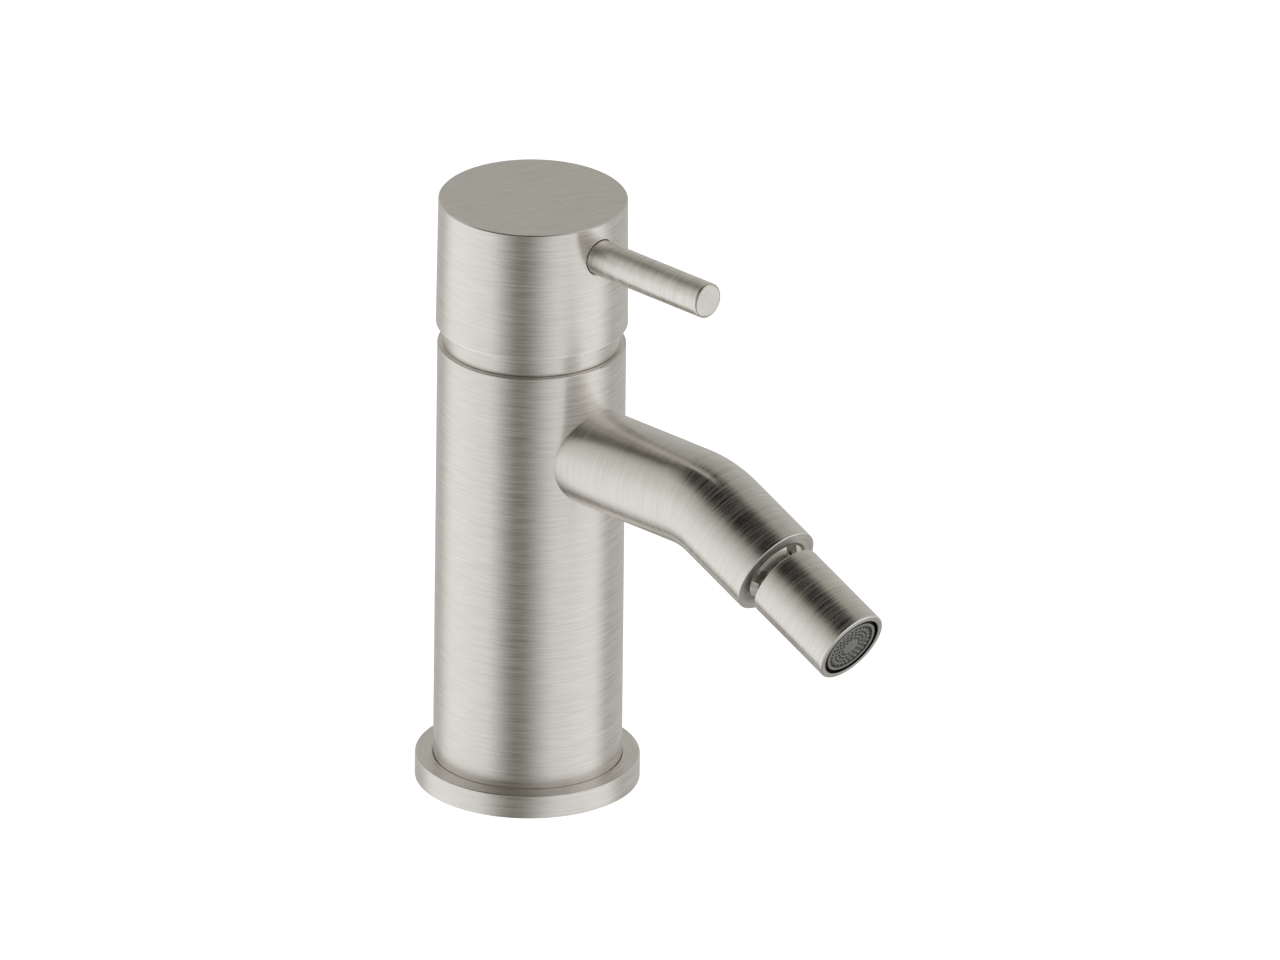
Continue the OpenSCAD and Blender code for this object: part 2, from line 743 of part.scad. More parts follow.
module retaining_ring() {
    ring_r = joint_bore_r - fit_gap;
    color(steel) at_spout_end()
    difference() {
        union() {
            translate([0, 0, -ring_back]) cylinder(r = ring_r, h = ring_back);
            cylinder(r1 = ring_r, r2 = ring_face_d / 2, h = ring_proud);
        }
        translate([0, 0, -ring_back - past]) cylinder(d = ring_bore_d, h = ring_back + ring_proud + 2 * past);
        translate([0, 0, -ball_depth]) sphere(r = socket_r);
        for (i = [0 : ring_notches - 1]) rotate([0, 0, ring_turn + i * 360 / ring_notches])
            translate([0, -ring_notch_w / 2, -notch_floor])
            cube([joint_bore_d, ring_notch_w, ring_proud + past]);
    }
}

module front_ball_seal() {
    color(ceramic) at_spout_end()
    difference() {
        translate([0, 0, -ring_back - front_seal_len])
            cylinder(r = joint_bore_r - fit_gap, h = front_seal_len);
        translate([0, 0, -ball_depth]) sphere(r = socket_r);
    }
}

module rear_ball_seat() {
    color(ceramic) at_spout_end()
    difference() {
        translate([0, 0, -rear_seat_back])
            cylinder(r = joint_bore_r - run_gap, h = rear_seat_back - rear_seat_front);
        translate([0, 0, -ball_depth]) sphere(r = socket_r);
        translate([0, 0, -rear_seat_back - past]) cylinder(d = rear_seat_bore_d, h = rear_seat_back);
    }
}

module ball_stem() {
    stem_len = ball_depth + barrel_chamber;
    color(steel) at_spout_end()
    difference() {
        translate([0, 0, -ball_depth]) {
            sphere(r = ball_r);
            cylinder(d = neck_d, h = stem_len);
        }
        translate([0, 0, -ball_depth - ball_r - past])
            cylinder(d = ball_bore_d, h = ball_r + stem_len + 2 * past);
    }
}

module nozzle_barrel() {
    groove_h = stem_seal_wire_d + 2 * fit_gap;
    color(nickel) at_spout_end()
    difference() {
        translate([0, 0, barrel_back]) rounded_bar(nozzle_r, nozzle_len, lip_edge, barrel_edge);
        translate([0, 0, barrel_back - past]) cylinder(r = neck_d / 2 + fit_gap, h = nozzle_len);
        translate([0, 0, stem_seal_w - groove_h / 2])
            cylinder(r = neck_d / 2 + stem_seal_wire_d, h = groove_h);
        translate([0, 0, barrel_chamber]) cylinder(d = chamber_bore_d, h = nozzle_len);
        translate([0, 0, shoulder_w]) cylinder(d = aerator_bore_d, h = aerator_bore_len + past);
    }
}

module stem_oring() {
    wire_d = stem_seal_wire_d - 2 * fit_gap;
    color(rubber)
        at_spout_end() translate([0, 0, stem_seal_w]) round_ring((neck_d + wire_d) / 2 + fit_gap, wire_d);
}

module aerator_seal() {
    color(rubber)
        at_spout_end() translate([0, 0, shoulder_w]) flat_ring(aerator_thread_r, aerator_hollow_r, seal_t);
}

module aerator_housing() {
    back = shoulder_w + seal_t;
    color(plastic) at_spout_end()
    difference() {
        union() {
            translate([0, 0, back])
                cylinder(r = aerator_thread_r, h = aerator_front - aerator_rim_len - back);
            translate([0, 0, back]) rounded_bar(aerator_rim_d / 2, aerator_front - back, 0.15);
        }
        translate([0, 0, back - past]) cylinder(r = aerator_hollow_r, h = nozzle_len);
        translate([0, 0, insert_back]) cylinder(r = aerator_bore_r, h = nozzle_len);
    }
}

module aerator_insert() {
    hole_circle_r = (grille_d + insert_core_d) / 4;
    web = 0.8;
    color(dark_plastic) at_spout_end()
    difference() {
        union() {
            translate([0, 0, insert_back]) cylinder(d = grille_d, h = web);
            translate([0, 0, insert_back]) cylinder(d1 = insert_core_d, d2 = insert_core_d / 2, h = insert_t);
            translate([0, 0, insert_back]) flat_ring(grille_d / 2, grille_d / 2 - web, insert_t);
        }
        for (i = [0 : insert_holes - 1]) rotate([0, 0, i * 360 / insert_holes])
            translate([hole_circle_r, 0, insert_back - past]) cylinder(d = insert_hole_d, h = web + 2 * past);
    }
}

module aerator_grille() {
    rim_w = 0.55;
    rim_drop = 0.5;
    tooth_foot = 1;
    tooth_tip = 0.3;
    tooth_lap = 0.2;
    tooth_len = 0.9;
    teeth = grille_spokes + grille_rings * grille_more_spokes;
    rim_inner_r = grille_d / 2 - rim_w;
    grille_core_r = grille_core_d / 2;
    teeth_r = rim_inner_r - tooth_len + tooth_lap;
    ring_step = (teeth_r + grille_bar / 2 - grille_core_r) / grille_rings;
    color(plastic) at_spout_end() translate([0, 0, grille_front - grille_t]) {
        cylinder(d = grille_core_d, h = grille_t);
        flat_ring(grille_d / 2, rim_inner_r, grille_t - rim_drop);
        for (i = [1 : grille_rings]) {
            spokes = grille_spokes + (i - 1) * grille_more_spokes;
            ring_r = grille_core_r + i * ring_step;
            flat_ring(ring_r, ring_r - grille_bar, grille_t);
            for (k = [0 : spokes - 1]) rotate([0, 0, (k + i / 2) * 360 / spokes])
                translate([ring_r - ring_step - grille_bar / 2, -grille_bar / 2, 0])
                cube([ring_step, grille_bar, grille_t]);
        }
        // Pointed teeth stand round the last ring and lie on the lower rim.
        for (k = [0 : teeth - 1]) rotate([0, 0, k * 360 / teeth])
            translate([teeth_r, 0, 0])
            linear_extrude(grille_t) polygon([
                [0, -tooth_foot / 2], [tooth_len, -tooth_tip / 2],
                [tooth_len, tooth_tip / 2], [0, tooth_foot / 2]
            ]);
    }
}

flange();
flange_gasket();
body();
base_insert();
spout();
collar();
collar_oring();
cartridge_nut();
cartridge_housing();
cartridge_base();
base_oring();
port_seals();
fixed_disc();
retaining_ring();
front_ball_seal();
carrier();
pivot_pin();
moving_disc();
slider();
handle_cap();
lever_pin();
grub_screw();
stem();
rear_ball_seat();
ball_stem();
nozzle_barrel();
stem_oring();
aerator_housing();
aerator_insert();
aerator_grille();
aerator_seal();
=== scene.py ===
import math

import bpy
from mathutils import Matrix, Vector


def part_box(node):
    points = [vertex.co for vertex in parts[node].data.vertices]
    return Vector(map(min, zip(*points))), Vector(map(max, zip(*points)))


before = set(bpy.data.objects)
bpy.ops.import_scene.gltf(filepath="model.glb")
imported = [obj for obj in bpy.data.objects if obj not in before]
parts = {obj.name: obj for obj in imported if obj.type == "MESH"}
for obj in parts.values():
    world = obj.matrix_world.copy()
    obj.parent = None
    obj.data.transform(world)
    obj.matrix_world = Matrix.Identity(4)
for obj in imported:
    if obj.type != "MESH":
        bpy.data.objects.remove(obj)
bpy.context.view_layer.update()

print("frame loaded,", len(parts), "pieces")


# Small helpers that add a node and wire its inputs

def feed(tree, socket, value):
    if isinstance(value, bpy.types.NodeSocket):
        tree.links.new(value, socket)
    else:
        socket.default_value = value


def addMath(tree, operation, *values):
    node = tree.nodes.new("ShaderNodeMath")
    node.operation = operation
    for socket, value in zip(node.inputs, values):
        feed(tree, socket, value)
    return node.outputs[0]


def addVector(tree, operation, *values, scale=None):
    node = tree.nodes.new("ShaderNodeVectorMath")
    node.operation = operation
    for socket, value in zip(node.inputs, values):
        feed(tree, socket, value)
    if scale is not None:
        feed(tree, node.inputs["Scale"], scale)
    return node.outputs["Value" if operation in ("DOT_PRODUCT", "LENGTH") else "Vector"]


def addRange(tree, value, fromLow, fromHigh, toLow=0.0, toHigh=1.0, curve="SMOOTHSTEP"):
    node = tree.nodes.new("ShaderNodeMapRange")
    node.interpolation_type = curve
    for socket, item in zip(node.inputs, (value, fromLow, fromHigh, toLow, toHigh)):
        feed(tree, socket, item)
    return node.outputs[0]


def addMix(tree, factor, first, second, kind="VECTOR"):
    firstInput, output = {"FLOAT": (2, 0), "VECTOR": (4, 1)}[kind]
    node = tree.nodes.new("ShaderNodeMix")
    node.data_type = kind
    for at, value in ((0, factor), (firstInput, first), (firstInput + 1, second)):
        feed(tree, node.inputs[at], value)
    return node.outputs[output]


def addNoise(tree, vector, detail, scale=1.0, roughness=0.5):
    node = tree.nodes.new("ShaderNodeTexNoise")
    feed(tree, node.inputs["Vector"], vector)
    feed(tree, node.inputs["Scale"], scale)
    feed(tree, node.inputs["Detail"], detail)
    feed(tree, node.inputs["Roughness"], roughness)
    return node.outputs["Fac"]


def addBump(tree, strength, distance, height):
    node = tree.nodes.new("ShaderNodeBump")
    feed(tree, node.inputs["Strength"], strength)
    feed(tree, node.inputs["Distance"], distance)
    feed(tree, node.inputs["Height"], height)
    return node


def splitVector(tree, vector):
    node = tree.nodes.new("ShaderNodeSeparateXYZ")
    feed(tree, node.inputs[0], vector)
    return node.outputs[0], node.outputs[1], node.outputs[2]


def joinVector(tree, x, y, z):
    node = tree.nodes.new("ShaderNodeCombineXYZ")
    for socket, value in zip(node.inputs, (x, y, z)):
        feed(tree, socket, value)
    return node.outputs[0]


def newGroup(name, inputs, outputs):
    group = bpy.data.node_groups.new(name, "ShaderNodeTree")
    for label, kind, value in inputs:
        socket = group.interface.new_socket(label, in_out="INPUT", socket_type="NodeSocket" + kind)
        if value is not None:
            socket.default_value = value
    for label in outputs:
        group.interface.new_socket(label, in_out="OUTPUT", socket_type="NodeSocketFloat")
    given = group.nodes.new("NodeGroupInput").outputs
    result = group.nodes.new("NodeGroupOutput").inputs
    return group, given, result


def placeGroup(tree, group, **values):
    node = tree.nodes.new("ShaderNodeGroup")
    node.node_tree = group
    for label, value in values.items():
        feed(tree, node.inputs[label], value)
    return node.outputs


# The camera has the photograph's own view, which is orthographic

view = {
    "bearing": -45.93,            # degrees round from the front
    "height": 24.04,              # degrees above level
    "roll": 0.595,                # degrees
    "aim": (0.0, 0.0, 0.075),     # metres
    "aside": (0.026130, 0.0011624),   # metres from the aim to the picture's centre, right and up
    "width": 0.304653,            # metres across the picture
    "distance": 1.2,              # metres
    "clipEnd": 20.0,              # metres
}

bearing, height, roll = (math.radians(view[key]) for key in ("bearing", "height", "roll"))
forward = Vector((
    -math.sin(bearing) * math.cos(height),
    math.cos(bearing) * math.cos(height),
    -math.sin(height),
))
rightward = Vector((math.cos(bearing), math.sin(bearing), 0.0))
upward = rightward.cross(forward)
pictureRight = rightward * math.cos(roll) + upward * math.sin(roll)
pictureUp = upward * math.cos(roll) - rightward * math.sin(roll)
asideRight, asideUp = view["aside"]
aimPoint = Vector(view["aim"]) + pictureRight * asideRight + pictureUp * asideUp

cameraData = bpy.data.cameras.new("photoCamera")
cameraData.type = "ORTHO"
cameraData.ortho_scale = view["width"]
cameraData.clip_end = view["clipEnd"]
camera = bpy.data.objects.new("photoCamera", cameraData)
bpy.context.scene.collection.objects.link(camera)
turn = Matrix((pictureRight, pictureUp, -forward)).transposed()
camera.matrix_world = Matrix.Translation(aimPoint - forward * view["distance"]) @ turn.to_4x4()
bpy.context.scene.camera = camera
bpy.context.scene.view_settings.view_transform = "Standard"
print("camera placed")


# The studio is a pale room: a wide soft box at each side, dimmer in front, dark overhead at the left.
# Bearings are degrees from the camera's side to its right, and heights are degrees above level.

studio = {
    "frontLevel": 0.25,
    "backLevel": 0.55,
    "frontTint": (1.0, 0.985, 0.88),
    "backTint": (1.0, 0.99, 0.965),
    "fillCentre": 4.0,                # bearing of the front's dimmest part
    "fillSpan": (50.0, 125.0),        # degrees from it where front turns into back
    "lowFade": (-20.0, -60.0, 0.62),  # heights between which the fill fades, and to what
    "riseGain": 0.0008,               # how much lighter the fill is for each degree of height
    "boxLevels": (0.865, 0.705, 1.025),   # a box's inner side low down, then level, and its outer side
    "boxSpan": (35.0, 95.0),          # bearings of those inner and outer sides
    "boxTint": (0.985, 0.99, 1.0),
    "leftBox": {"outer": (-145.0, -110.0), "inner": (-14.5, -56.0)},  # from no light to full light
    "rightBox": {"outer": (118.0, 85.0), "inner": (-13.0, 37.0)},
    "narrowFrom": -24.0,
    "narrowing": 0.6,                 # how fast the boxes narrow below that height
    "partFrom": 10.0,
    "parting": 0.66,                  # how fast the left box draws aside above that height
    "shade": (-75.0, 78.0),           # bearing and height of the dark part
    "shadeEdge": (17.0, 42.0),        # degrees from it, from dark to light
    "shadeReach": (28.0, 80.0, 0.5),  # a wider, weaker shade round it, and its level
    "shadeTint": (1.0, 0.985, 0.8),
}
white = (1.0, 1.0, 1.0)


def aimAt(bearingDegrees, heightDegrees=0.0):
    b, h = math.radians(bearingDegrees + view["bearing"]), math.radians(heightDegrees)
    return (math.sin(b) * math.cos(h), -math.cos(b) * math.cos(h), math.sin(h))


def inDegrees(tree, angle):
    return addMath(tree, "MULTIPLY", angle, 180.0 / math.pi)


def angleFrom(tree, direction, target):
    close = addVector(tree, "DOT_PRODUCT", direction, target)
    return inDegrees(tree, addMath(tree, "ARCCOSINE", close))


def bearingOf(tree, direction):
    toFront = addVector(tree, "DOT_PRODUCT", direction, aimAt(0.0))
    toRight = addVector(tree, "DOT_PRODUCT", direction, aimAt(90.0))
    return inDegrees(tree, addMath(tree, "ARCTAN2", toRight, toFront))


def fillLight(tree, settings, side, rise):
    aside = addMath(tree, "ABSOLUTE", addMath(tree, "SUBTRACT", side, settings["fillCentre"]))
    level = addRange(tree, aside, *settings["fillSpan"], settings["frontLevel"], settings["backLevel"])
    fadeFrom, fadeTo, fadeLevel = settings["lowFade"]
    level = addMath(tree, "MULTIPLY", level, addRange(tree, rise, fadeTo, fadeFrom, fadeLevel, 1.0))
    level = addMath(tree, "MULTIPLY", level, addMath(tree, "MULTIPLY_ADD", rise, settings["riseGain"], 1.0))
    toBack = addRange(tree, aside, *settings["fillSpan"])
    tint = addMix(tree, toBack, settings["frontTint"], settings["backTint"])
    return addVector(tree, "SCALE", tint, scale=level)


def beyond(tree, first, second, rate):
    # How far the first is above the second, times the rate, and never below nothing
    past = addMath(tree, "MAXIMUM", addMath(tree, "SUBTRACT", first, second), 0.0)
    return addMath(tree, "MULTIPLY", past, rate)


def boxLight(tree, settings, side, rise):
    # The boxes' colour and where they are
    narrowing = beyond(tree, settings["narrowFrom"], rise, settings["narrowing"])
    parting = beyond(tree, rise, settings["partFrom"], settings["parting"])
    mask = 0.0
    for box, pushed, drawn in (
        (settings["leftBox"], "SUBTRACT", parting),
        (settings["rightBox"], "ADD", 0.0),
    ):
        outer = addRange(tree, addMath(tree, pushed, side, narrowing), *box["outer"])
        inner = addRange(tree, addMath(tree, "ADD", side, drawn), *box["inner"])
        mask = addMath(tree, "ADD", mask, addMath(tree, "MULTIPLY", outer, inner))
    lowLevel, highLevel, outerLevel = settings["boxLevels"]
    innerLevel = addRange(tree, rise, settings["narrowFrom"], 0.0, lowLevel, highLevel, "LINEAR")
    aside = addMath(tree, "ABSOLUTE", side)
    level = addRange(tree, aside, *settings["boxSpan"], innerLevel, outerLevel, "LINEAR")
    return addVector(tree, "SCALE", settings["boxTint"], scale=level), mask


def buildStudio(settings):
    world = bpy.data.worlds.new("studio")
    bpy.context.scene.world = world
    world.use_nodes = True
    world.cycles.sampling_method = "NONE"    # the soft studio has little noise without light sampling
    tree = world.node_tree
    tree.nodes.clear()
    direction = tree.nodes.new("ShaderNodeTexCoord").outputs["Generated"]
    side = bearingOf(tree, direction)
    rise = inDegrees(tree, addMath(tree, "ARCSINE", splitVector(tree, direction)[2]))
    boxColour, boxMask = boxLight(tree, settings, side, rise)
    light = addMix(tree, boxMask, fillLight(tree, settings, side, rise), boxColour)
    shadeAngle = angleFrom(tree, direction, aimAt(*settings["shade"]))
    wide = addRange(tree, shadeAngle, *settings["shadeReach"], 1.0, "LINEAR")
    shade = addMath(tree, "MULTIPLY", wide, addRange(tree, shadeAngle, *settings["shadeEdge"]))
    light = addVector(tree, "MULTIPLY", light, addMix(tree, shade, settings["shadeTint"], white))
    light = addVector(tree, "SCALE", light, scale=shade)
    seen = tree.nodes.new("ShaderNodeLightPath").outputs["Is Camera Ray"]
    background = tree.nodes.new("ShaderNodeBackground")
    feed(tree, background.inputs["Color"], addMix(tree, seen, light, white))
    output = tree.nodes.new("ShaderNodeOutputWorld")
    tree.links.new(background.outputs[0], output.inputs["Surface"])


floorLook = {
    "reach": 30.0,      # metres to each side
    "colour": (0.85, 0.85, 0.85, 1.0),
    "roughness": 0.9,
    "glow": 0.86,
}


def buildFloor(settings):
    reach = settings["reach"]
    corners = [(-reach, -reach, 0), (reach, -reach, 0), (reach, reach, 0), (-reach, reach, 0)]
    mesh = bpy.data.meshes.new("floor")
    mesh.from_pydata(corners, [], [(0, 1, 2, 3)])
    floor = bpy.data.objects.new("floor", mesh)
    bpy.context.scene.collection.objects.link(floor)
    paint = bpy.data.materials.new("paleFloor")
    paint.use_nodes = True
    shader = paint.node_tree.nodes["Principled BSDF"]
    shader.inputs["Base Color"].default_value = settings["colour"]
    shader.inputs["Roughness"].default_value = settings["roughness"]
    shader.inputs["Specular IOR Level"].default_value = 0.0
    shader.inputs["Emission Color"].default_value = (*white, 1.0)
    shader.inputs["Emission Strength"].default_value = settings["glow"]
    mesh.materials.append(paint)
    floor.visible_glossy = False    # the metal mirrors the studio below the horizon, not the floor
    floor.visible_diffuse = False
    floor.visible_shadow = False


buildStudio(studio)
buildFloor(floorLook)
print("studio built")


# Effects that several finishes share. Local is a place measured from an axis, with its z along it.

def fromAxis(tree, local):
    # The arm from the axis to the place, its length, and how far along the axis it is
    x, y, along = splitVector(tree, local)
    arm = joinVector(tree, x, y, 0.0)
    return arm, addVector(tree, "LENGTH", arm), along


grainLayers = {         # how each noise is stretched and shifted from the streaks' own
    "finer": ((1.4, 1.4, 1.6), (7.1, 3.3, 1.7)),
    "looser": ((1.0, 1.0, 0.8), (1.9, 8.2, 4.4)),
    "cloudy": ((0.9, 0.9, 0.03), (5.5, 2.4, 9.1)),
}


def moved(tree, threads, layer):
    stretch, shift = grainLayers[layer]
    return addVector(tree, "ADD", addVector(tree, "MULTIPLY", threads, stretch), shift)


def buildBrushedGrain():
    # Scratches that run round an axis
    group, given, result = newGroup("brushedGrain", (
        ("Local", "Vector", None), ("Around", "Float", 1.0), ("Spacing", "Float", 0.0005),
    ), ("Streak", "Fine", "Wander", "Cloud"))
    arm, reach, along = fromAxis(group, given["Local"])
    spoke = addVector(group, "SCALE", addVector(group, "NORMALIZE", arm), scale=given["Around"])
    across = addMath(group, "DIVIDE", addMath(group, "ADD", along, reach), given["Spacing"])
    u, v = splitVector(group, spoke)[:2]
    threads = joinVector(group, u, v, across)
    wander = addNoise(group, moved(group, threads, "looser"), 1.0)
    feed(group, result["Streak"], addNoise(group, threads, 1.0))
    feed(group, result["Fine"], addNoise(group, moved(group, threads, "finer"), 0.0))
    feed(group, result["Wander"], addMath(group, "SUBTRACT", wander, 0.5))
    feed(group, result["Cloud"], addNoise(group, moved(group, threads, "cloudy"), 2.0))
    return group


def buildStraightGrain():
    # Scratches that run straight, square to Lines' x. The fine ones are closer together.
    group, given, result = newGroup("straightGrain", (
        ("Lines", "Vector", None), ("Spacing", "Float", 0.0005), ("Length", "Float", 0.014),
        ("Closer", "Float", 2.1),
    ), ("Streak", "Fine"))
    x, y = splitVector(group, given["Lines"])[:2]
    across = addMath(group, "DIVIDE", x, given["Spacing"])
    drawn = joinVector(group, across, addMath(group, "DIVIDE", y, given["Length"]), 0.0)
    closer = addVector(group, "SCALE", drawn, scale=given["Closer"])
    feed(group, result["Streak"], addNoise(group, drawn, 1.0))
    feed(group, result["Fine"], addNoise(group, closer, 0.0))
    return group


def buildWornEdgeHighlight():
    # A brighter line along a turned edge, partly wear where it is struck and partly a painted highlight: at
    # one height along the axis and one radius.
    # The specks make its width uneven.
    group, given, result = newGroup("wornEdgeHighlight", (
        ("Local", "Vector", None), ("Height", "Float", 0.0), ("Radius", "Float", 0.01),
        ("Width", "Float", 0.0005), ("Specks", "Float", 900.0), ("Core", "Float", 0.35),
    ), ("Mask",))
    arm, reach, along = fromAxis(group, given["Local"])
    offHeight = addMath(group, "SUBTRACT", along, given["Height"])
    offRadius = addMath(group, "SUBTRACT", reach, given["Radius"])
    off = addVector(group, "LENGTH", joinVector(group, offHeight, offRadius, 0.0))
    speck = addNoise(group, given["Local"], 2.0, given["Specks"], 0.6)
    width = addMath(group, "MULTIPLY", given["Width"], addMath(group, "ADD", speck, 0.5))
    wornAndHighlight = addRange(group, addMath(group, "DIVIDE", off, width), given["Core"], 1.0, 1.0, 0.0)
    feed(group, result["Mask"], wornAndHighlight)
    return group


def buildRecess():
    # Two masks in a bore, for placing painted shade: Deep below a height on its axis, Outside beyond a radius
    group, given, result = newGroup("recess", (
        ("Local", "Vector", None), ("Height", "Float", 0.0), ("Depth", "Float", 0.0005),
        ("Radius", "Float", 0.01), ("Edge", "Float", 0.0001),
    ), ("Deep", "Outside"))
    arm, reach, along = fromAxis(group, given["Local"])
    down = addMath(group, "DIVIDE", addMath(group, "SUBTRACT", given["Height"], along), given["Depth"])
    out = addMath(group, "DIVIDE", addMath(group, "SUBTRACT", reach, given["Radius"]), given["Edge"])
    feed(group, result["Deep"], addRange(group, down, 0.1, 1.0))
    feed(group, result["Outside"], addRange(group, out, -0.5, 0.5))
    return group


brushedGrain = buildBrushedGrain()
straightGrain = buildStraightGrain()
wornEdgeHighlight = buildWornEdgeHighlight()
recess = buildRecess()


# Brushed nickel, for every outer piece that was turned and then brushed round its axis

nickel = {
    "colour": (0.675, 0.651, 0.607),
    "roughness": 0.225,
    "anisotropy": 0.85,
    "contrast": (0.38, 0.62),   # the noise values that are no scratch and a full one
    "scratch": 0.03,            # how much rougher the scratches are
    "scatter": 0.16,            # how much of their light they scatter to all sides
    "glint": 0.19,              # how much brighter their bare metal is
    "wander": 0.03,             # how far the grooves lean the surface along themselves
    "bump": 0.015,
    "bumpDepth": 0.00002,
    "cloudContrast": (0.3, 0.7),
    "cloudRoughness": 0.01,     # how much rougher or smoother a cloud is
    "endFacing": (0.75, 0.85),  # how squarely to the axis a flat end faces
    "endRoughness": 0.0,        # how much rougher the flat ends are
    "endDepth": 1.0,            # how deep the scratches are there
    # Rims are painted brighter: partly edge wear, partly a painted highlight
    "rimWearAndHighlightColour": (0.9, 0.885, 0.84),
    "rimStrength": 0.7,
    "rimRoughness": 0.22,
}


def straightFrame(tree, place, origin, tilt):
    # Position measured from a straight axis: z runs along it
    node = tree.nodes.new("ShaderNodeMapping")
    node.vector_type = "TEXTURE"
    feed(tree, node.inputs["Vector"], place)
    feed(tree, node.inputs["Location"], origin)
    feed(tree, node.inputs["Rotation"], (math.radians(tilt), 0.0, 0.0))
    return node.outputs[0]


def bentFrame(tree, place, bend):
    # Follows the spout's centre line: level, round the bend, then straight on
    x, y, z = splitVector(tree, place)
    ahead = addMath(tree, "SUBTRACT", addMath(tree, "MULTIPLY", y, -1.0), bend["start"])
    above = addMath(tree, "SUBTRACT", z, bend["height"] - bend["radius"])
    angle = addMath(tree, "MAXIMUM", addMath(tree, "ARCTAN2", ahead, above), 0.0)
    angle = addMath(tree, "MINIMUM", angle, math.radians(bend["lean"]))
    sine, cosine = addMath(tree, "SINE", angle), addMath(tree, "COSINE", angle)
    aheadOut, aheadOn = (addMath(tree, "MULTIPLY", ahead, part) for part in (sine, cosine))
    aboveOut, aboveOn = (addMath(tree, "MULTIPLY", above, part) for part in (cosine, sine))
    aside = addMath(tree, "SUBTRACT", addMath(tree, "ADD", aheadOut, aboveOut), bend["radius"])
    further = addMath(tree, "SUBTRACT", aheadOn, aboveOn)
    along = addMath(tree, "ADD", further, addMath(tree, "MULTIPLY", angle, bend["radius"]))
    axisY, axisZ = (addMath(tree, "MULTIPLY", part, -1.0) for part in (cosine, sine))
    return joinVector(tree, x, aside, along), joinVector(tree, 0.0, axisY, axisZ)


def axisOf(tilt):
    lean = math.radians(tilt)
    return (0.0, -math.sin(lean), math.cos(lean))


def flatEnd(tree, axis, facingRange):
    normal = tree.nodes.new("ShaderNodeTexCoord").outputs["Normal"]
    facing = addMath(tree, "ABSOLUTE", addVector(tree, "DOT_PRODUCT", normal, axis))
    return addRange(tree, facing, *facingRange)


def outwardFrom(tree, place, origin, axis):
    offset = addVector(tree, "SUBTRACT", place, origin)
    alongAxis = addVector(tree, "SCALE", axis, scale=addVector(tree, "DOT_PRODUCT", offset, axis))
    return addVector(tree, "NORMALIZE", addVector(tree, "SUBTRACT", offset, alongAxis))


def toWorld(tree, direction):
    node = tree.nodes.new("ShaderNodeVectorTransform")
    node.vector_type = "VECTOR"
    node.convert_from, node.convert_to = "OBJECT", "WORLD"
    feed(tree, node.inputs[0], direction)
    return node.outputs[0]


def startMaterial(name):
    material = bpy.data.materials.new(name)
    material.use_nodes = True
    tree = material.node_tree
    place = tree.nodes.new("ShaderNodeTexCoord").outputs["Object"]
    return material, tree, tree.nodes["Principled BSDF"], place


def straightLines(tree, place, turnDegrees, spacing):
    node = tree.nodes.new("ShaderNodeVectorRotate")
    node.rotation_type = "Z_AXIS"
    feed(tree, node.inputs["Vector"], place)
    feed(tree, node.inputs["Angle"], -math.radians(turnDegrees))
    return placeGroup(tree, straightGrain, Lines=node.outputs[0], Spacing=spacing)


